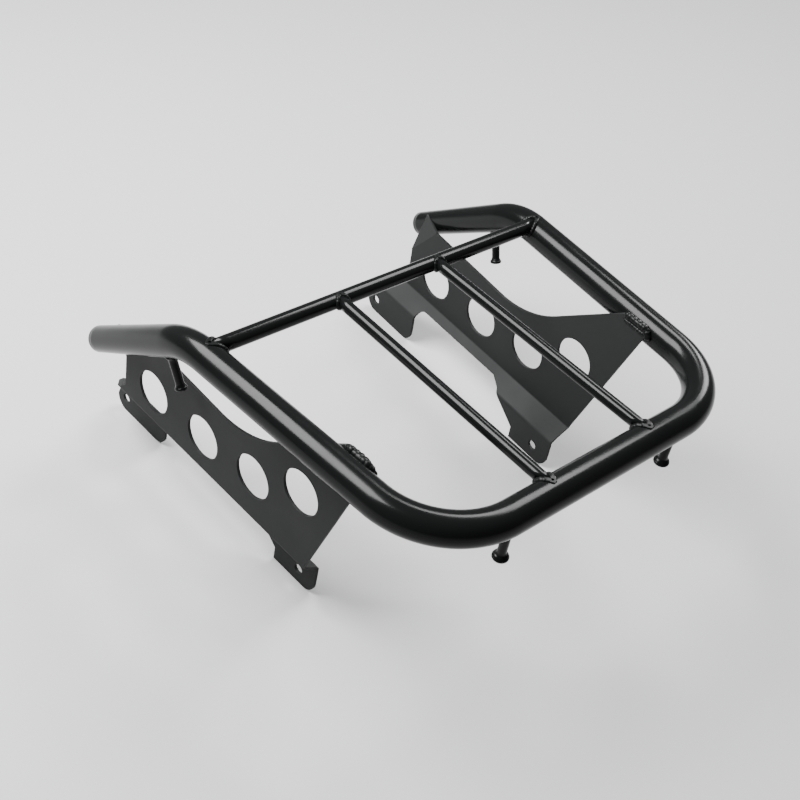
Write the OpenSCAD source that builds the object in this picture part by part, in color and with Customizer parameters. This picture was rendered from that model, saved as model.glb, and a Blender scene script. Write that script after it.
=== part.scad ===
// Motorcycle luggage rack: a bent steel tube hoop with a cross tube and two centre rods as its deck,
// carried by two folded side plates whose lower tabs are drilled for the fixing bolts.
// The frame stands on the lower edges of the four tabs, under the middle of the rack.
// X points to the rear, Z up, and Y = 0 is the middle plane. Left is the side with negative Y.

/* [Deck] */
// half width of the deck at the cross tube, to the middle of the hoop tube
half_width = 167.3; // [155:0.1:180]
// distance from the cross tube to the closed rear end, between the middles of the tubes
deck_length = 231.5; // [222:0.5:250]
// angle at which each side of the hoop runs inwards towards the rear
side_taper = 4.95; // [3.5:0.05:5.5]
// outer diameter of the hoop tube
tube_od = 25.4; // [23:0.1:27]
// wall of the hoop tube
tube_wall = 2; // [1.2:0.1:3]
// bend radius of the two rear corners, to the middle of the tube
corner_radius = 66.5; // [50:0.5:72]
// height of the middle of the hoop tube above the lower edges of the tabs
deck_height = 181; // [178:1:190]

/* [Arms] */
// point ahead of the cross tube where the side and the arm would meet without a bend
arm_start = 21; // [15:1:30]
// angle of the front bend
arm_angle = 34.5; // [32:0.5:37]
// bend radius of the front bend, to the middle of the tube
arm_radius = 69; // [55:1:85]
// lean of the arms towards the middle plane
arm_lean = 4.1; // [3:0.1:6]
// length of an arm from that point to the tip of its cap
arm_length = 145.5; // [138:0.5:150]
// outer diameter of the arm where it ends
arm_tip_od = 22; // [20:0.5:24]
// how far the dome of the cap stands out of the arm
cap_dome = 5; // [3:0.5:8]
// length of the plug of the cap inside the arm
cap_plug = 12; // [8:1:20]

/* [Deck rods] */
// outer diameter of the cross tube
cross_od = 12.7; // [11:0.1:14]
// wall of the cross tube
cross_wall = 1.5; // [1:0.1:2.5]
// diameter of the two centre rods
rod_diameter = 10; // [8:0.5:12]
// distance between the two centre rods
rod_spacing = 99.5; // [70:0.5:130]

/* [Side plates] */
// thickness of the sheet
sheet = 2.5; // [2:0.1:3]
// how far the plate lies inside the inner side of the hoop tube at the cross tube
plate_inset = 6; // [5.5:0.1:7]
// angle at which the plate runs inwards towards the rear
plate_taper = 2.7; // [2.5:0.05:3]
// angle at which the plate leans outwards going down
plate_tilt = 1.5; // [1:0.1:2]
// distance of the front edge ahead of the cross tube
plate_front = 126; // [122:1:130]
// depth of the upper edge below the hoop where it leaves the arm
edge_front_depth = 58; // [56:0.5:60]
// depth of the upper edge below the hoop under the cross tube
edge_depth = 66; // [60:0.5:70]
// depth below the hoop at which the bend line of the ear leaves the front edge
ear_depth = 97; // [92:0.5:102]
// distance from the front edge at which that bend line meets the upper edge
ear_width = 30; // [24:0.5:36]
// angle at which the ear is bent outwards to meet the arm
ear_angle = 26; // [20:0.5:30]
// radius of the hollow in the upper edge
scallop_radius = 98; // [80:1:110]
// angle the hollow turns through before it runs straight up to the tube
scallop_angle = 38; // [34:1:42]
// height of the welded upper edge above the middle of the hoop tube
weld_edge_height = 7; // [5:0.5:8]
// distance of the rear end of the welded edge behind the cross tube
weld_edge_end = 154; // [148:1:160]
// slope of the rear edge, forwards for each unit it goes down
rear_slope = 0.32; // [0.2:0.01:0.4]

/* [Lightening holes] */
// diameter of the large holes
hole_diameter = 38; // [30:0.5:40]
// distance of the first hole ahead of the cross tube
hole_1_x = 87; // [84:0.5:90]
// depth of the first hole below the hoop
hole_1_depth = 107; // [105:0.5:109]
// distance of the second hole ahead of the cross tube
hole_2_x = 21; // [15:0.5:27]
// depth of the second hole below the hoop
hole_2_depth = 104.5; // [102:0.5:107]
// distance of the third hole behind the cross tube
hole_3_x = 41; // [36:0.5:46]
// depth of the third hole below the hoop
hole_3_depth = 96; // [92:0.5:100]
// distance of the fourth hole behind the cross tube
hole_4_x = 93; // [90:0.5:96]
// depth of the fourth hole below the hoop
hole_4_depth = 68; // [66:0.5:70]

/* [Folded tabs] */
// depth of the fold line below the hoop
fold_depth = 135; // [133:0.5:137]
// angle of both folds
fold_angle = 52; // [46:1:56]
// inner radius of both folds
fold_radius = 2; // [1:0.5:3]
// width of the sloping strip between the two folds
strip_width = 18; // [14:0.5:20]
// diameter of the fixing holes
bolt_hole = 9; // [6.5:0.5:11]
// height of the fixing holes above the lower edges of the tabs
bolt_height = 13.5; // [12:0.5:15]
// distance of the front fixing hole ahead of the cross tube
front_hole_x = 148; // [144:0.5:150]
// distance of the rear fixing hole behind the cross tube
rear_hole_x = 88; // [84:0.5:92]
// length of the front tab ahead of its fixing hole
front_tab_end = 12; // [11:0.5:16]
// length of the front tab along the rack
front_tab_length = 69; // [60:1:72]
// slope of the front edge of the front tab, forwards on its way down
tab_flare = 8; // [4:0.5:10]
// depth of the lower edge between the tabs below the fold line
recess_drop = 7; // [5.5:0.5:9]
// length of the rear tab behind its fixing hole
rear_tab_end = 19; // [18.5:0.5:22]
// length of the rear tab along its lower edge
rear_tab_length = 48; // [40:1:54]
// length of the rear tab along its fold
rear_tab_root = 78; // [70:1:84]
// radius of the rounded lower corners of the tabs
tab_corner = 12; // [8:1:14]

/* [Cord hooks] */
// diameter of the shank
shank_diameter = 5.5; // [4:0.5:7]
// diameter of the heads of the front hooks
front_head_diameter = 10; // [8:0.5:12]
// diameter of the heads of the rear hooks
rear_head_diameter = 12.5; // [10:0.5:14]
// thickness of the heads
head_thickness = 4; // [2:0.5:5]
// how far a hook stands out of the tube
hook_length = 29; // [24:1:36]
// distance of the front hooks from the start of the arm, along the arm
hook_on_arm = 31; // [26:1:36]
// lean of the front hooks towards the rear
hook_lean = 22; // [16:1:30]
// distance of each rear hook from the middle plane
hook_offset = 85; // [60:1:86]

/* [Weld beads] */
// width of the weld round the ends of the rods and of the cross tube
bead = 2.5; // [2:0.1:3]
// how far a weld stands above the deck
bead_rise = 0.8; // [0.4:0.1:1.5]
// radius of the weld along the edges of the side plates
plate_bead = 3; // [2.6:0.1:3.5]
// length of the weld down the front edge of each ear
front_bead_length = 20; // [14:1:24]

/* [Hidden] */
$fn = 96;
tube_r = tube_od / 2;
tip_r = arm_tip_od / 2;
cross_r = cross_od / 2;
rod_r = rod_diameter / 2;
side_slope = tan(side_taper);
// heights that bring the tops of the cross tube and the rods level with the hoop
cross_z = tube_r - cross_r;
rod_z = tube_r - rod_r;
// the end of the rear corner, where the straight side starts
corner_end_x = deck_length - corner_radius * (1 - sin(side_taper));
corner_mid_y = half_width - corner_end_x * side_slope - corner_radius * cos(side_taper);
// the point where side and arm would meet, and the length of tube each side loses to the bend
meet_y = half_width + arm_start * side_slope;
bend_loss = arm_radius * tan(arm_angle / 2);
side_run = (corner_end_x + arm_start) / cos(side_taper);
arm_run = arm_length - bend_loss - cap_dome;
// the ball that gives the cap its dome
dome_r = (tip_r * tip_r + cap_dome * cap_dome) / (2 * cap_dome);
tip_x = arm_start + arm_length * cos(arm_angle);
// the plane of the left side plate
plate_y = half_width - tube_r - plate_inset;
// depth of the second fold and of the lower edges
tab_bottom = deck_height;
second_fold = fold_depth + strip_width * cos(fold_angle);
tab_front = front_hole_x + front_tab_end;
tab_rear = rear_hole_x + rear_tab_end;
recess_front = front_tab_length - tab_front;
recess_depth = fold_depth + recess_drop;
recess_corner = second_fold - recess_depth + sheet;
rear_foot = weld_edge_end - rear_slope * (weld_edge_height + fold_depth);
// where the upper edge runs up to the welded edge
rise_x = scallop_radius * sin(scallop_angle);
rise_depth = edge_depth - scallop_radius * (1 - cos(scallop_angle));
weld_edge_start = rise_x + (rise_depth + weld_edge_height) / tan(scallop_angle);
// the bend line of the ear, its slope, its length and the ear's corner measured from it
ear_low = [-plate_front, -ear_depth];
edge_slope = (edge_depth - edge_front_depth) / plate_front;
ear_high = [ear_width - plate_front, -edge_front_depth - edge_slope * ear_width];
ear_turn = atan2(ear_high.x - ear_low.x, ear_high.y - ear_low.y);
ear_line = norm(ear_high - ear_low);
ear_edge = ear_depth - edge_front_depth;
ear_corner = ear_edge * [-sin(ear_turn), cos(ear_turn)];
// the panel and the ear run a little past the bend line, into each other
ear_lap = 0.5;
ear_tongue = 0.3;
// angle by which the bend of the ear laps over the two flats it joins
ear_overlap = 5;
// the middle of the whole rack along its length
front_end = max(tip_x, tab_front);
mid_x = (deck_length + tube_r - front_end) / 2;
// longer than anything that has to be cut through
wide = 400;
// flats that make up a fold, a rounded corner and the hollow in the upper edge
fold_steps = 6;
corner_steps = 8;
hollow_steps = 12;
// distance of the welds of the cross tube from the middle of the hoop tube
bead_root = tube_r / 3;
// the straight runs lap a little over the bends, which are a hair thinner
lap = 1;
hair = 0.05;

// points on an arc of radius r about the point c, from angle a to angle b in n steps
function arc(c, r, a, b, n) =
    [for (i = [0 : n]) c + r * [cos(a + (b - a) * i / n), sin(a + (b - a) * i / n)]];

// moves a shape from the middle of the cross tube to the frame of the rack
module at_deck() {
    translate([-mid_x, 0, deck_height])
        children();
}

// the same shape on the left or, mirrored, on the right
module on_side(right) {
    if (right)
        mirror([0, 1, 0])
            children();
    else
        children();
}

// the corner between side and arm on the left, leaning with the arm
module at_meet() {
    translate([-arm_start, -meet_y, 0])
        rotate([0, 0, side_taper])
            children();
}

// the end of the front bend, with X along the arm
module at_arm() {
    at_meet()
        rotate([arm_lean, 0, 0])
            translate([bend_loss, 0, -arm_radius])
                rotate([0, -arm_angle, 0])
                    translate([0, 0, arm_radius])
                        children();
}

// solid bar of the closed end, which laps over both rear corners
module end_bar(r) {
    translate([deck_length, 0, 0])
        rotate([90, 0, 0])
            cylinder(h = 2 * (corner_mid_y + lap), r = r, center = true);
}

// solid bar of the left rear corner
module corner_bar(r) {
    translate([deck_length - corner_radius, -corner_mid_y, 0])
        rotate([0, 0, side_taper - 90])
            rotate_extrude(angle = 90 - side_taper)
                translate([corner_radius, 0])
                    circle(r = r - hair);
}

// solid bar of the straight left side, which laps over the bends at both ends
module side_bar(r) {
    at_meet()
        translate([bend_loss - lap, 0, 0])
            rotate([0, 90, 0])
                cylinder(h = side_run - bend_loss + 2 * lap, r = r);
}

// solid bar of the left front bend
module bend_bar(r) {
    at_meet()
        rotate([arm_lean, 0, 0])
            translate([bend_loss, 0, -arm_radius])
                rotate([90, 0, 0])
                    rotate([0, 0, 90])
                        rotate_extrude(angle = arm_angle)
                            translate([arm_radius, 0])
                                circle(r = r - hair);
}

// solid bar of the left arm, narrowing from radius r to radius r_tip, longer by more at its tip
module arm_bar(r, r_tip, more) {
    at_arm()
        translate([lap, 0, 0])
            rotate([0, -90, 0])
                cylinder(h = arm_run + lap, r1 = r + hair, r2 = r_tip);
    if (more > 0)
        at_arm()
            rotate([0, -90, 0])
                translate([0, 0, arm_run - more])
                    cylinder(h = 2 * more, r = r_tip);
}

// everything of the hoop on the left as one solid bar
module half_bar(r, r_tip, more) {
    side_bar(r);
    corner_bar(r);
    bend_bar(r);
    arm_bar(r, r_tip, more);
}

// one bent tube: the closed end, two corners, two sides, two bends and two tapered arms
module main_hoop() {
    color([0.05, 0.05, 0.05])
        at_deck()
            difference() {
                union() {
                    end_bar(tube_r);
                    half_bar(tube_r, tip_r, 0);
                    on_side(true)
                        half_bar(tube_r, tip_r, 0);
                }
                union() {
                    end_bar(tube_r - tube_wall);
                    half_bar(tube_r - tube_wall, tip_r - tube_wall, lap);
                    on_side(true)
                        half_bar(tube_r - tube_wall, tip_r - tube_wall, lap);
                }
            }
}

// the hoop near the left side plate and the hooks, as a solid
module hoop_side() {
    side_bar(tube_r);
    bend_bar(tube_r);
    arm_bar(tube_r, tip_r, 0);
}

// domed plug in the end of an arm
module arm_cap(right) {
    color([0.07, 0.07, 0.07])
        at_deck()
            on_side(right)
                at_arm()
                    rotate([0, -90, 0])
                        translate([0, 0, arm_run]) {
                            intersection() {
                                translate([0, 0, cap_dome - dome_r])
                                    sphere(r = dome_r);
                                cylinder(h = cap_dome, r = 2 * tip_r);
                            }
                            translate([0, 0, -cap_plug])
                                cylinder(h = cap_plug, r = tip_r - tube_wall);
                        }
}

// solid bar of the cross tube, longer than the tube
module cross_bar(r) {
    translate([0, 0, cross_z])
        rotate([90, 0, 0])
            cylinder(h = 2 * half_width, r = r, center = true);
}

// thin tube across the front of the deck, coped to fit the sides of the hoop
module cross_tube() {
    color([0.05, 0.05, 0.05])
        at_deck()
            difference() {
                cross_bar(cross_r);
                cross_bar(cross_r - cross_wall);
                side_bar(tube_r);
                on_side(true)
                    side_bar(tube_r);
            }
}

// solid bar of the left centre rod
module rod_bar(r) {
    translate([0, -rod_spacing / 2, rod_z])
        rotate([0, 90, 0])
            cylinder(h = deck_length, r = r);
}

// round rod from the cross tube to the closed end, coped at both ends
module centre_rod(right) {
    color([0.05, 0.05, 0.05])
        at_deck()
            on_side(right)
                difference() {
                    rod_bar(rod_r);
                    cross_bar(cross_r);
                    end_bar(tube_r);
                }
}

// a hole through the plate
module plate_hole(x, depth, diameter) {
    translate([x, 0, -depth])
        rotate([90, 0, 0])
            cylinder(h = wide, d = diameter, center = true);
}

// the sheet seen from its end: down the panel, a fold inwards, a strip, a fold back and the tab
module sheet_section() {
    first = [sheet + fold_radius, -fold_depth];
    second = first
        - (2 * fold_radius + sheet) * [cos(fold_angle), sin(fold_angle)]
        + strip_width * [sin(fold_angle), -cos(fold_angle)];
    polygon(concat(
        [[0, tube_od]],
        arc(first, fold_radius + sheet, 180, 180 + fold_angle, fold_steps),
        arc(second, fold_radius, fold_angle, 0, fold_steps),
        [[second.x + fold_radius, -wide], [second.x + fold_radius + sheet, -wide]],
        arc(second, fold_radius + sheet, 0, fold_angle, fold_steps),
        arc(first, fold_radius, 180 + fold_angle, 180, fold_steps),
        [[sheet, tube_od]]
    ));
}

// outline of the flat plate with its two tabs, seen from the side
module plate_outline() {
    polygon(concat(
        [
            [-plate_front - tab_flare, -fold_depth],
            [-plate_front, tab_flare - fold_depth],
            ear_low + [0, ear_lap],
            ear_high - ear_lap * [1, -edge_slope]
        ],
        arc([0, scallop_radius - edge_depth], scallop_radius, -90, scallop_angle - 90,
            hollow_steps),
        [
            [weld_edge_start, weld_edge_height],
            [weld_edge_end, weld_edge_height],
            [rear_foot, -fold_depth],
            [tab_rear, -second_fold]
        ],
        arc([tab_rear - tab_corner, tab_corner - tab_bottom], tab_corner, 0, -90,
            corner_steps),
        [
            [tab_rear - rear_tab_length, -tab_bottom],
            [tab_rear - rear_tab_length, tab_corner - tab_bottom],
            [tab_rear - rear_tab_root, -second_fold],
            [tab_rear - rear_tab_root - tab_corner, -recess_depth]
        ],
        arc([recess_front + recess_corner, -recess_depth - recess_corner], recess_corner, 90, 180,
            fold_steps),
        arc([recess_front - tab_corner, tab_corner - tab_bottom], tab_corner, 0, -90,
            corner_steps),
        arc([tab_corner - tab_front, tab_corner - tab_bottom], tab_corner, 270, 180,
            corner_steps),
        [[tab_flare - tab_front, -second_fold]]
    ));
}

// the front upper corner of the plate, bent outwards to meet the arm
module ear() {
    at_bend_line() {
        rotate([0, 0, 90 - ear_overlap])
            rotate_extrude(angle = ear_angle + 2 * ear_overlap)
                translate([ear_tongue, 2 * hair])
                    square([sheet - hair - ear_tongue, ear_line - 4 * hair]);
        rotate([0, 0, ear_angle])
            rotate([90, 0, 0])
                translate([0, 0, -sheet])
                    linear_extrude(sheet)
                        polygon([
                            [0, hair],
                            [ear_tongue, ear_tongue],
                            [ear_tongue, ear_line - ear_tongue],
                            [0, ear_line - hair],
                            ear_corner
                        ]);
    }
}

// the bend line of the ear, with Z along it
module at_bend_line() {
    translate([ear_low.x, 0, ear_low.y])
        rotate([0, ear_turn, 0])
            children();
}

// the left side plate in its own plane
module plate_shape() {
    ear();
    difference() {
        intersection() {
            rotate([90, 0, 90])
                linear_extrude(wide, center = true)
                    sheet_section();
            rotate([90, 0, 0])
                linear_extrude(wide, center = true)
                    plate_outline();
        }
        plate_hole(-hole_1_x, hole_1_depth, hole_diameter);
        plate_hole(-hole_2_x, hole_2_depth, hole_diameter);
        plate_hole(hole_3_x, hole_3_depth, hole_diameter);
        plate_hole(hole_4_x, hole_4_depth, hole_diameter);
        plate_hole(-front_hole_x, tab_bottom - bolt_height, bolt_hole);
        plate_hole(rear_hole_x, tab_bottom - bolt_height, bolt_hole);
    }
}

// the plane of the left side plate, outer face at Y = 0
module at_plate() {
    translate([0, -plate_y, 0])
        rotate([0, 0, plate_taper])
            rotate([-plate_tilt, 0, 0])
                children();
}

// folded and pierced side plate, fitted against the inner side of the hoop and of the arm
module side_plate(right) {
    color([0.2, 0.2, 0.2])
        at_deck()
            on_side(right)
                difference() {
                    at_plate()
                        plate_shape();
                    hoop_side();
                }
}

// shank and head of a hook, hanging from the middle of a tube of radius r
module hook_shape(r, head) {
    translate([0, 0, -r - hook_length]) {
        cylinder(h = r + hook_length, d = shank_diameter);
        cylinder(h = head_thickness, d = head);
    }
}

// headed peg for the luggage cord under the start of an arm
module hook_front(right) {
    color([0.05, 0.05, 0.05])
        at_deck()
            on_side(right)
                difference() {
                    at_meet()
                        rotate([arm_lean, 0, 0])
                            translate([-hook_on_arm * cos(arm_angle), 0, -hook_on_arm * sin(arm_angle)])
                                rotate([0, -hook_lean, 0])
                                    hook_shape(tube_r, front_head_diameter);
                    hoop_side();
                }
}

// headed peg for the luggage cord under the closed end
module hook_rear(right) {
    color([0.05, 0.05, 0.05])
        at_deck()
            on_side(right)
                difference() {
                    translate([deck_length, -hook_offset, 0])
                        hook_shape(tube_r, rear_head_diameter);
                    end_bar(tube_r);
                    corner_bar(tube_r);
                }
}

// space above the level the weld beads are ground down to
module above_level() {
    translate([-wide, -wide, tube_r + bead_rise])
        cube(2 * wide);
}

// weld round the end of the cross tube
module weld_cross(right) {
    color([0.1, 0.1, 0.1])
        at_deck()
            on_side(right)
                difference() {
                    intersection() {
                        translate([0, -half_width + bead_root, cross_z])
                            rotate([-90, 0, 0])
                                cylinder(h = tube_r + bead, r = cross_r + bead);
                        side_bar(tube_r + bead);
                    }
                    cross_bar(cross_r);
                    side_bar(tube_r);
                    above_level();
                }
}

// weld round the front end of a centre rod
module weld_rod_front(right) {
    color([0.1, 0.1, 0.1])
        at_deck()
            on_side(right)
                difference() {
                    intersection() {
                        rod_bar(rod_r + bead);
                        cross_bar(cross_r + bead);
                    }
                    rod_bar(rod_r);
                    cross_bar(cross_r);
                    above_level();
                }
}

// weld round the rear end of a centre rod
module weld_rod_rear(right) {
    color([0.1, 0.1, 0.1])
        at_deck()
            on_side(right)
                difference() {
                    intersection() {
                        rod_bar(rod_r + bead);
                        end_bar(tube_r + bead);
                    }
                    rod_bar(rod_r);
                    end_bar(tube_r);
                    above_level();
                }
}

// bead along the welded upper edge of a side plate
module weld_plate_rear(right) {
    color([0.1, 0.1, 0.1])
        at_deck()
            on_side(right)
                difference() {
                    at_plate()
                        translate([weld_edge_start, 0, weld_edge_height])
                            rotate([0, 90, 0])
                                cylinder(h = weld_edge_end - weld_edge_start, r = plate_bead);
                    at_plate()
                        plate_shape();
                    side_bar(tube_r);
                }
}

// bead down the front edge of the ear, where it meets the arm
module weld_plate_front(right) {
    color([0.1, 0.1, 0.1])
        at_deck()
            on_side(right)
                difference() {
                    at_plate()
                        at_bend_line()
                            rotate([0, 0, ear_angle])
                                rotate([0, -ear_turn, 0])
                                    translate([0, 0, ear_edge - front_bead_length])
                                        cylinder(h = front_bead_length, r = plate_bead);
                    at_plate()
                        plate_shape();
                    hoop_side();
                }
}

main_hoop();
arm_cap(false);  // arm_cap_left
arm_cap(true);  // arm_cap_right
cross_tube();
centre_rod(false);  // centre_rod_left
centre_rod(true);  // centre_rod_right
side_plate(false);  // side_plate_left
side_plate(true);  // side_plate_right
hook_front(false);  // hook_front_left
hook_front(true);  // hook_front_right
hook_rear(false);  // hook_rear_left
hook_rear(true);  // hook_rear_right
weld_cross(false);  // weld_cross_left
weld_cross(true);  // weld_cross_right
weld_rod_front(false);  // weld_rod_front_left
weld_rod_front(true);  // weld_rod_front_right
weld_rod_rear(false);  // weld_rod_rear_left
weld_rod_rear(true);  // weld_rod_rear_right
weld_plate_rear(false);  // weld_plate_rear_left
weld_plate_rear(true);  // weld_plate_rear_right
weld_plate_front(false);  // weld_plate_front_left
weld_plate_front(true);  // weld_plate_front_right
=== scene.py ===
# A motorcycle luggage rack, welded from bent tube, rods and folded sheet, powder coated black.
# It stands on its four drilled tabs. X runs to the closed rear end, Z is up, all in metres.
import bpy
import math
import random
import bmesh
from mathutils import Vector, Matrix


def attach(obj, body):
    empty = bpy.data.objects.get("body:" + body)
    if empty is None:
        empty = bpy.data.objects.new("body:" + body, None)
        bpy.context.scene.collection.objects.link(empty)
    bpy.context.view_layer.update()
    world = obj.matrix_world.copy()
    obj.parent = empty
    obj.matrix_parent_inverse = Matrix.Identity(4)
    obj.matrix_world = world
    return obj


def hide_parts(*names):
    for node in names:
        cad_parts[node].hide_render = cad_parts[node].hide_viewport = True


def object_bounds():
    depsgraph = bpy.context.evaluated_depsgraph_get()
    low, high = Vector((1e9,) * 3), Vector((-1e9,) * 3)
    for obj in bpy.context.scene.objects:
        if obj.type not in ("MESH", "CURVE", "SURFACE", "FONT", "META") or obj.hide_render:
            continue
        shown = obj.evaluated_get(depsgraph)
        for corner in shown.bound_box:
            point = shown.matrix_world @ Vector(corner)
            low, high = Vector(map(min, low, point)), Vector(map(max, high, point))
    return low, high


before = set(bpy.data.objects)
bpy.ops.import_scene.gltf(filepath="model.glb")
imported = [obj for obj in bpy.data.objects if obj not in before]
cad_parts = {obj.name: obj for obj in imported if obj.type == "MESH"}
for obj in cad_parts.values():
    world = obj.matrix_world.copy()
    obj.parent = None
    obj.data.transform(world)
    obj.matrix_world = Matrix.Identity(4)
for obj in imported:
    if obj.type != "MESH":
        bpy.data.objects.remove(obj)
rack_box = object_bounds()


# The camera looks down on the rack from behind its left rear corner, a little rolled, with a
# long lens, as the photographer held it.
camera_data = bpy.data.cameras.new("rack_camera")
camera_data.sensor_width = 36.0
camera_data.lens = 54.872
camera_data.clip_start = 0.01
camera_data.clip_end = 50.0
camera = bpy.data.objects.new("rack_camera", camera_data)
camera.rotation_euler = [math.radians(a) for a in (48.0407, -8.4918, 49.745)]
camera.location = (0.49787, -0.55456, 0.74991)
bpy.context.scene.collection.objects.link(camera)
bpy.context.scene.camera = camera


# The studio: one wide sheet of pale matt paper under the rack, a dim pale room round it, and
# soft boxes that draw the long bands of light on the gloss tubes.
paper_half = 9
paper_gap = 0.0002
floor_mesh = bpy.data.meshes.new("floor")
floor_corners = [(-paper_half, -paper_half, 0), (paper_half, -paper_half, 0),
                 (paper_half, paper_half, 0), (-paper_half, paper_half, 0)]
floor_mesh.from_pydata(floor_corners, [], [(0, 1, 2, 3)])
floor = bpy.data.objects.new("floor", floor_mesh)
bpy.context.scene.collection.objects.link(floor)
floor.location.z = rack_box[0][2] - paper_gap
paper = bpy.data.materials.new("pale_paper")
paper.use_nodes = True
paper_shader = paper.node_tree.nodes["Principled BSDF"]
paper_shader.inputs["Base Color"].default_value = (0.40, 0.40, 0.40, 1)
paper_shader.inputs["Roughness"].default_value = 0.9
paper_shader.inputs["Specular IOR Level"].default_value = 0.1
floor_mesh.materials.append(paper)

room = bpy.data.worlds.new("pale_room")
room.use_nodes = True
room_light = room.node_tree.nodes["Background"]
room_light.inputs["Color"].default_value = (0.97, 0.98, 1.0, 1)
room_light.inputs["Strength"].default_value = 0.25
bpy.context.scene.world = room

lights_aim = Vector((0, 0, 0.12))


def soft_box(name, toward, distance, width, height, power):
    """One soft box, that far from the rack in a direction, facing it."""
    light_data = bpy.data.lights.new(name, "AREA")
    light_data.shape = "RECTANGLE"
    light_data.size = width
    light_data.size_y = height
    light_data.energy = power
    light = bpy.data.objects.new(name, light_data)
    direction = Vector(toward).normalized()
    light.location = lights_aim + direction * distance
    light.rotation_euler = direction.to_track_quat("Z", "Y").to_euler()
    bpy.context.scene.collection.objects.link(light)


soft_box("box_left", (-0.46, -0.42, 0.80), 1.4, 1.00, 0.74, 92)
soft_box("box_over_right", (-0.14, 0.556, 0.82), 1.5, 0.80, 0.40, 30)
soft_box("box_right", (-0.14, 0.86, 0.49), 2.8, 0.80, 0.80, 56)


# The hoop is one length of steel tube, cut, bent at two rear corners and two front bends, its
# arms drawn narrower, then powder coated in gloss black over everything.
def noise_over(tree, scale, detail):
    """Noise over the piece's own coordinates."""
    place = tree.nodes.new("ShaderNodeTexCoord")
    noise = tree.nodes.new("ShaderNodeTexNoise")
    noise.inputs["Scale"].default_value = scale
    noise.inputs["Detail"].default_value = detail
    tree.links.new(place.outputs["Object"], noise.inputs["Vector"])
    return noise.outputs["Fac"]


def uneven_gloss(tree, shader, cloud, least, most):
    """Lets the roughness of the paint drift between two values."""
    drift = tree.nodes.new("ShaderNodeMapRange")
    drift.inputs["From Min"].default_value = 0.3
    drift.inputs["From Max"].default_value = 0.7
    drift.inputs["To Min"].default_value = least
    drift.inputs["To Max"].default_value = most
    tree.links.new(cloud, drift.inputs["Value"])
    tree.links.new(drift.outputs["Result"], shader.inputs["Roughness"])


def raised_grain(tree, shader, grain, strength, height):
    """Raises a fine grain in the skin of the paint."""
    bump = tree.nodes.new("ShaderNodeBump")
    bump.inputs["Strength"].default_value = strength
    bump.inputs["Distance"].default_value = height
    tree.links.new(grain, bump.inputs["Height"])
    tree.links.new(bump.outputs["Normal"], shader.inputs["Normal"])


def gloss_black(name, roughness, peel):
    """Gloss black powder coat: faint orange peel, and gloss that varies a little."""
    coat = bpy.data.materials.new(name)
    coat.use_nodes = True
    tree = coat.node_tree
    shader = tree.nodes["Principled BSDF"]
    shader.inputs["Base Color"].default_value = (0.0035, 0.0038, 0.0038, 1)
    shader.inputs["Specular IOR Level"].default_value = 0.10
    uneven_gloss(tree, shader, noise_over(tree, 38, 3), roughness * 0.85, roughness * 1.2)
    raised_grain(tree, shader, noise_over(tree, 150, 2), peel, 0.0004)
    return coat


# the rack is measured in millimetres from the middle of the cross tube, at the height of the
# middle of the hoop: that point lies ahead of the middle of the rack and above its tabs
deck_middle = 42.1
deck_level = 181.0


def from_deck(x, y, z):
    """Millimetres from the middle of the cross tube, to metres in the rack's frame."""
    return Vector((x - deck_middle, y, z + deck_level)) / 1000


def skin_over(name, node_name, rings, coat, joined=False, soft_ends=False):
    """One piece skinned over its rings, joined up or closed at both ends."""
    mesh = bmesh.new()
    rows = [[mesh.verts.new(spot) for spot in ring] for ring in rings]
    pairs = list(zip(rows, rows[1:]))
    if joined:
        pairs.append((rows[-1], rows[0]))
    for row, nxt in pairs:
        for m in range(len(row)):
            around = (m + 1) % len(row)
            mesh.faces.new((row[m], row[around], nxt[around], nxt[m])).smooth = True
    if not joined:
        mesh.faces.new(rows[0][::-1]).smooth = soft_ends
        mesh.faces.new(rows[-1]).smooth = soft_ends
    bmesh.ops.recalc_face_normals(mesh, faces=mesh.faces)
    data = bpy.data.meshes.new(name)
    mesh.to_mesh(data)
    mesh.free()
    data.materials.append(coat)
    piece = bpy.data.objects.new(name, data)
    bpy.context.scene.collection.objects.link(piece)
    if node_name:
        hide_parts(node_name)
    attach(piece, "root")


def steel_bar(name, node_name, rings, coat):
    """A bar over rings in the deck's millimetres, that stands for one CAD piece."""
    placed = [[from_deck(*spot) for spot in ring] for ring in rings]
    skin_over(name, node_name, placed, coat)


def ring_round(middle, side, other, radius, points):
    """A ring of points round a middle, in the plane of two directions."""
    turns = [2 * math.pi * m / points for m in range(points)]
    return [middle + (side * math.cos(t) + other * math.sin(t)) * radius for t in turns]


def even_steps(first, last, count):
    """Evenly spaced numbers from the first to the last."""
    return [first + (last - first) * k / count for k in range(count + 1)]


# the deck in plan: straight sides that run inwards to the rear, and two round corners
hoop_r = 12.7
half_width = 167.3
deck_end = 231.5
taper = math.radians(4.95)
corner_radius = 66.5
corner_end = deck_end - corner_radius * (1 - math.sin(taper))
corner_y = half_width - corner_end * math.tan(taper) - corner_radius * math.cos(taper)

# the arms: they bend down ahead of the cross tube, lean inwards and narrow to their tips
arm_start = 21
arm_length = 145.5
cap_dome = 5
tip_r = 11.0
bend_radius = 69
bend_angle = math.radians(34.5)
arm_lean = math.radians(4.1)
bend_loss = bend_radius * math.tan(bend_angle / 2)
arm_run = arm_length - bend_loss - cap_dome
side_run = (corner_end + arm_start) / math.cos(taper)
meet = Vector((-arm_start, -half_width - arm_start * math.tan(taper), 0))
side_turn = Matrix.Rotation(taper, 3, "Z")
arm_turn = side_turn @ Matrix.Rotation(arm_lean, 3, "X")
arm_way = Vector((-math.cos(bend_angle), 0, -math.sin(bend_angle)))


def on_bend(a):
    """A point on the middle line of the front bend, before it leans."""
    return Vector((bend_loss - bend_radius * math.sin(a), 0, bend_radius * (math.cos(a) - 1)))


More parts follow.
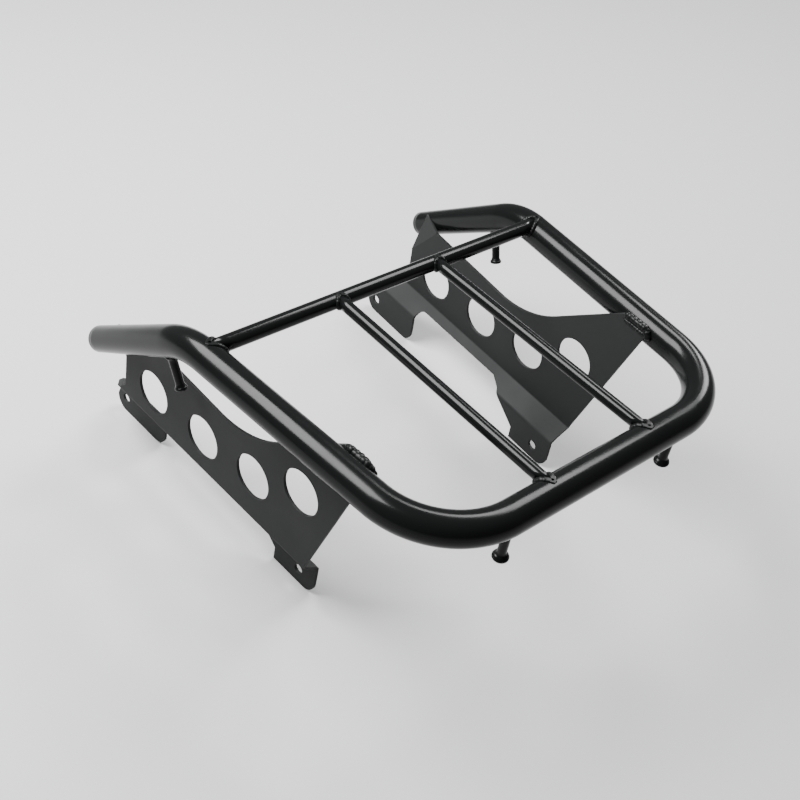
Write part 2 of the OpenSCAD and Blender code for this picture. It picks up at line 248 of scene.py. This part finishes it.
# the middle line of the left half, with the tube's radius, from the arm's tip to the closed end
arm_steps = 24
bend_steps = 48
side_steps = 32
corner_steps = 72
end_steps = 12
half_line = []
for along in even_steps(arm_run, 0, arm_steps):
    spot = meet + arm_turn @ (on_bend(bend_angle) + arm_way * along)
    half_line.append((spot, hoop_r + (tip_r - hoop_r) * along / arm_run))
for a in even_steps(bend_angle, 0, bend_steps)[1:]:
    half_line.append((meet + arm_turn @ on_bend(a), hoop_r))
for along in even_steps(bend_loss, side_run, side_steps)[1:]:
    half_line.append((meet + side_turn @ Vector((along, 0, 0)), hoop_r))
for a in even_steps(taper - math.pi / 2, 0, corner_steps)[1:]:
    x = deck_end - corner_radius + corner_radius * math.cos(a)
    y = corner_radius * math.sin(a) - corner_y
    half_line.append((Vector((x, y, 0)), hoop_r))
for y in even_steps(-corner_y, 0, end_steps)[1:]:
    half_line.append((Vector((deck_end, y, 0)), hoop_r))
hoop_line = list(half_line)
for spot, r in reversed(half_line[:-1]):
    hoop_line.append((Vector((spot.x, -spot.y, spot.z)), r))

# a ring square to the line at each of its places, with no twist between them
hoop_points = 96
hoop_rings = []
side = Vector((0, 0, 1))
for k, (spot, r) in enumerate(hoop_line):
    ahead = hoop_line[min(k + 1, len(hoop_line) - 1)][0]
    behind = hoop_line[max(k - 1, 0)][0]
    way = (ahead - behind).normalized()
    side = (side - way * side.dot(way)).normalized()
    hoop_rings.append(ring_round(spot, side, way.cross(side), r, hoop_points))

# the open ends: the edge of the wall and a short way into the bore, where the plug sits
tube_wall = 2.0
bore_depth = 12.5
for end, inner in ((0, 1), (-1, -2)):
    spot, r = hoop_line[end]
    inward = (hoop_line[inner][0] - spot).normalized()
    rim = [spot + (p - spot) * (r - tube_wall) / r for p in hoop_rings[end]]
    bore = [p + inward * bore_depth for p in rim]
    if end == 0:
        hoop_rings = [bore, rim] + hoop_rings
    else:
        hoop_rings = hoop_rings + [rim, bore]
hoop_coat = gloss_black("hoop_coat", 0.19, 0.008)
steel_bar("hoop_tube", "main_hoop", hoop_rings, hoop_coat)


# The arm ends are closed with pressed domed plugs, welded in and dressed flush. Their coat is a
# little duller than that of the tube.
def finish_with(material, names):
    """Gives the CAD nodes of these names the material in every slot."""
    for node_name in names:
        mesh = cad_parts[node_name].data
        if not mesh.materials:
            mesh.materials.append(material)
        for k in range(len(mesh.materials)):
            mesh.materials[k] = material


cap_coat = gloss_black("cap_coat", 0.3, 0.1)
finish_with(cap_coat, ["arm_cap_left", "arm_cap_right"])


# The cross tube is a straight length of thinner tube, coped at both ends to fit the sides of
# the hoop and welded in level with its top.
rod_coat = gloss_black("rod_coat", 0.16, 0.006)
cross_r = 6.35
cross_z = hoop_r - cross_r
cross_points = 96
bar_steps = 24


def chord(radius, height):
    """Half the width of a round bar at a height above its middle."""
    return math.sqrt(max(radius ** 2 - height ** 2, 0.0))


def cross_cope(sign, steps):
    """The line where the end of the cross tube meets the inner side of the hoop."""
    line = []
    for k in range(steps):
        turn = 2 * math.pi * k / steps
        x = cross_r * math.cos(turn)
        z = cross_z + cross_r * math.sin(turn)
        inner_side = half_width - x * math.tan(taper) - chord(hoop_r, z) / math.cos(taper)
        line.append(Vector((x, sign * inner_side, z)))
    return line


def between(first, last, steps):
    """Rings from one coped end to the other."""
    return [[a.lerp(b, k / steps) for a, b in zip(first, last)] for k in range(steps + 1)]


cross_rings = between(cross_cope(-1, cross_points), cross_cope(1, cross_points), bar_steps)
steel_bar("cross_bar", "cross_tube", cross_rings, rod_coat)


# The two centre rods are solid round bar, coped against the cross tube and the closed end and
# welded in, their tops level with the deck. They carry the bag between the sides.
rod_r = 5.0
rod_y = 49.75
rod_z = hoop_r - rod_r
rod_points = 72
both_sides = (("left", -1), ("right", 1))


def rod_cope(sign, at_rear, steps):
    """The line where a rod meets the cross tube, or the closed end at the rear."""
    line = []
    for k in range(steps):
        turn = 2 * math.pi * k / steps
        z = rod_z + rod_r * math.sin(turn)
        if at_rear:
            x = deck_end - chord(hoop_r, z)
        else:
            x = chord(cross_r, z - cross_z)
        line.append(Vector((x, sign * rod_y + rod_r * math.cos(turn), z)))
    return line


for side_name, sign in both_sides:
    front = rod_cope(sign, False, rod_points)
    rear = rod_cope(sign, True, rod_points)
    rod_rings = between(front, rear, bar_steps)
    steel_bar("rod_" + side_name, "centre_rod_" + side_name, rod_rings, rod_coat)


# The side plates are cut from 2.5 mm sheet, pierced, folded twice along their lower tabs and
# bent out at the front corner. Their coat is a satin charcoal black with a fine grain.
satin = bpy.data.materials.new("plate_coat")
satin.use_nodes = True
satin_tree = satin.node_tree
satin_shader = satin_tree.nodes["Principled BSDF"]
satin_shader.inputs["Specular IOR Level"].default_value = 0.2
satin_cloud = noise_over(satin_tree, 16, 5)
satin_tone = satin_tree.nodes.new("ShaderNodeValToRGB")
satin_tone.color_ramp.elements[0].position = 0.3
satin_tone.color_ramp.elements[0].color = (0.0050, 0.0056, 0.0056, 1)
satin_tone.color_ramp.elements[1].position = 0.7
satin_tone.color_ramp.elements[1].color = (0.0075, 0.0082, 0.0082, 1)
satin_tree.links.new(satin_cloud, satin_tone.inputs["Fac"])
satin_tree.links.new(satin_tone.outputs["Color"], satin_shader.inputs["Base Color"])
uneven_gloss(satin_tree, satin_shader, satin_cloud, 0.60, 0.72)
raised_grain(satin_tree, satin_shader, noise_over(satin_tree, 1500, 2), 0.16, 0.0002)
finish_with(satin, ["side_plate_left", "side_plate_right"])


# The four cord hooks are turned steel pegs with a rounded head, let into the underside of the
# tube: two lean back from the front bends and two hang from the closed end.
peg_coat = gloss_black("peg_coat", 0.24, 0.02)
shank_r = 3.5
front_head_r = 5.0
rear_head_r = 6.25
peg_on_arm = 31
peg_lean = math.radians(22)
peg_offset = 85
peg_points = 48


def turned_peg(name, node_name, root, down, head_r):
    """A peg from the middle of the tube: a swelling at the weld, a shank and a rounded head."""
    # each pair is a distance from the middle of the tube and the radius there
    profile = [(11.4, 5.6), (12.9, 5.3), (13.6, 4.7), (14.4, 4.1), (15.8, 3.65), (18.0, shank_r),
               (35.6, shank_r)]
    # the underside of the head flares out, its rim is rounded and its face is nearly flat
    flare = head_r - 4.3
    for degrees in (0, 30, 60, 90):
        a = math.radians(degrees)
        profile.append((36.2 + 1.5 * math.sin(a) ** 2, shank_r + flare * (1 - math.cos(a))))
    rim = 0.9
    for degrees in (0, 30, 60, 90, 120, 150, 180):
        a = math.radians(degrees)
        profile.append((39.7 - 1.4 * math.cos(a), head_r - rim + rim * math.sin(a)))
    profile += [(41.5, head_r * 0.5), (41.7, head_r * 0.2)]
    down = down.normalized()
    across = down.orthogonal().normalized()
    other = down.cross(across)
    rings = []
    for along, radius in profile:
        rings.append(ring_round(root + down * along, across, other, radius, peg_points))
    steel_bar(name, node_name, rings, peg_coat)


for side_name, sign in both_sides:
    # the front pegs stand square to the leaning arm, tipped to the rear
    root = meet + arm_turn @ (arm_way * peg_on_arm)
    down = arm_turn @ Vector((math.sin(peg_lean), 0, -math.cos(peg_lean)))
    root.y *= -sign
    down.y *= -sign
    turned_peg("peg_front_" + side_name, "hook_front_" + side_name, root, down, front_head_r)
    # the rear pegs hang straight down from the closed end
    root = Vector((deck_end, sign * peg_offset, 0))
    turned_peg("peg_rear_" + side_name, "hook_rear_" + side_name, root, Vector((0, 0, -1)), rear_head_r)


# The rods and the cross tube are welded in by hand, a row of small overlapping pools all round
# each end. Each weld is a rippled bead that stands proud of the joint, coated with the rest.
weld_coat = gloss_black("weld_coat", 0.34, 0.05)
bead_rise = 0.8
highest = (deck_level + hoop_r + bead_rise) / 1000


def spread_along(points, run, count, rings):
    """The middles of the rings, at even steps along a line of points."""
    steps = []
    reached = 0.0
    for a, b in zip(points, points[1:]):
        steps.append((reached, a, b))
        reached += (b - a).length
    middles = []
    at = 0
    for k in range(rings):
        s = run * k / count
        while at + 1 < len(steps) and steps[at + 1][0] <= s:
            at += 1
        begin, a, b = steps[at]
        part = (s - begin) / max((b - a).length, 1e-9)
        middles.append(a.lerp(b, min(max(part, 0.0), 1.0)))
    return middles


def laid_bead(name, node_name, line, size, closed, seed):
    """A rippled bead along a line of points, ends tapered, dressed level with the deck."""
    thickness, pool = size
    chance = random.Random(seed)
    draws = 64
    lumps = [chance.uniform(-1, 1) for _ in range(draws)]
    lean = [chance.uniform(-1, 1) for _ in range(draws)]
    points = [Vector(p) for p in line]
    if closed:
        points.append(points[0].copy())
    run = sum((b - a).length for a, b in zip(points, points[1:]))
    ring_spacing = 0.00035
    count = max(24, int(run / ring_spacing))
    rings = count if closed else count + 1
    centres = spread_along(points, run, count, rings)
    around = 20
    side = Vector((0, 0, 1))
    rows = []
    for k in range(rings):
        ahead = centres[(k + 1) % rings] if closed else centres[min(k + 1, rings - 1)]
        behind = centres[k - 1] if (closed or k > 0) else centres[0]
        tangent = (ahead - behind).normalized()
        side = side - tangent * side.dot(tangent)
        if side.length < 1e-4:
            side = tangent.orthogonal()
        side.normalize()
        other = tangent.cross(side)
        # each pool swells in its middle, sits a little to one side, and is like no other
        s = run * k / count
        whole = int(s / pool) % draws
        phase = s / pool - int(s / pool)
        swell = 0.90 + 0.13 * math.sin(math.pi * phase) ** 0.8 + 0.06 * lumps[whole]
        if not closed:
            near_end = min(s, run - s) / (1.6 * thickness)
            swell *= math.sqrt(min(1.0, max(near_end, 0.02)))
        shift = other * (0.10 * lean[whole] * thickness * math.sin(math.pi * phase))
        row = []
        for m in range(around):
            turn = 2 * math.pi * m / around
            reach = thickness * swell * (1 + 0.05 * math.sin(3 * turn + 2.1 * lean[whole]))
            spot = centres[k] + shift + (side * math.cos(turn) + other * math.sin(turn)) * reach
            spot.z = min(spot.z, highest)
            row.append(spot)
        rows.append(row)
    skin_over(name, node_name, rows, weld_coat, joined=closed, soft_ends=True)


# each bead is given by its radius and the length of one of its pools
full_bead = (0.0021, 0.0026)
slim_bead = (0.0019, 0.0024)
seam_points = 96
for side_name, sign in both_sides:
    seams = (("cross_", cross_cope(sign, seam_points), full_bead, 11),
             ("rod_front_", rod_cope(sign, False, seam_points), slim_bead, 21),
             ("rod_rear_", rod_cope(sign, True, seam_points), full_bead, 31))
    for place, seam, size, seed in seams:
        ring = [from_deck(*spot) for spot in seam]
        laid_bead("bead_" + place + side_name, "weld_" + place + side_name, ring, size, True, seed + sign)


# The plates are welded on where they meet the tube: a heavy run along the upper edge at the rear,
# built up at its end, and a short run down the front edge of the ear. All are coated over.
plate_y = 148.6
plate_taper = math.radians(2.7)
plate_tilt = math.radians(1.5)
plate_front = 126
ear_depth = 97
ear_angle = math.radians(26)
ear_slope = math.radians(38.96)
plate_turn = Matrix.Rotation(plate_taper, 3, "Z") @ Matrix.Rotation(-plate_tilt, 3, "X")
ear_turn = Matrix.Rotation(ear_slope, 3, "Y")
ear_bend = ear_turn @ Matrix.Rotation(ear_angle, 3, "Z") @ ear_turn.transposed()


def on_plate(x, y, z, sign):
    """A point in the flat left plate's own millimetres, placed on the left or right plate."""
    spot = plate_turn @ Vector((x, y, z)) - Vector((0, plate_y, 0))
    return from_deck(spot.x, -sign * spot.y, spot.z)


def on_ear(out, up, sign):
    """The same on the bent ear: out from its front edge and up along it."""
    spot = Vector((-plate_front, 0, -ear_depth)) + ear_bend @ Vector((out, -out, up))
    return on_plate(spot.x, spot.y, spot.z, sign)


# where the runs lie on the flat plate: its upper edge, its inner face and its rear corner
edge_from = 126.5
edge_to = 154
edge_z = 6.4
edge_y = 0.3
inner_from = 128
inner_to = 152
inner_z = 2.6
inner_y = 2.3
corner_x = 147.5
corner_z = -0.6
corner_face = 1.0
corner_turn = 7
ear_out = 0.4
ear_top = 37
ear_bottom = 20
edge_bead = (0.0033, 0.0042)
corner_bead = (0.0028, 0.0036)
inner_bead = (0.0017, 0.0030)
ear_bead = (0.0026, 0.0034)
for side_name, sign in both_sides:
    # along the top of the plate, from the hollow to the rear corner
    run_along = [on_plate(x, edge_y, edge_z, sign) for x in even_steps(edge_from, edge_to, 12)]
    laid_bead("bead_plate_rear_" + side_name, "weld_plate_rear_" + side_name,
              run_along, edge_bead, False, 41 + sign)
    # the build-up at the rear corner, turned down round the end of the sheet
    build_up = []
    for degrees in even_steps(0, 112, 14):
        a = math.radians(degrees)
        x = corner_x + corner_turn * math.sin(a)
        z = corner_z + corner_turn * math.cos(a)
        build_up.append(on_plate(x, corner_face, z, sign))
    laid_bead("bead_plate_corner_" + side_name, None, build_up, corner_bead, False, 51 + sign)
    # a thinner second run on the inner face, below the edge
    inner_run = [on_plate(x, inner_y, inner_z, sign) for x in even_steps(inner_from, inner_to, 12)]
    laid_bead("bead_plate_inner_" + side_name, None, inner_run, inner_bead, False, 61 + sign)
    # down the front edge of the ear, against the arm
    run_down = [on_ear(ear_out, up, sign) for up in even_steps(ear_top, ear_bottom, 10)]
    laid_bead("bead_plate_front_" + side_name, "weld_plate_front_" + side_name,
              run_down, ear_bead, False, 71 + sign)
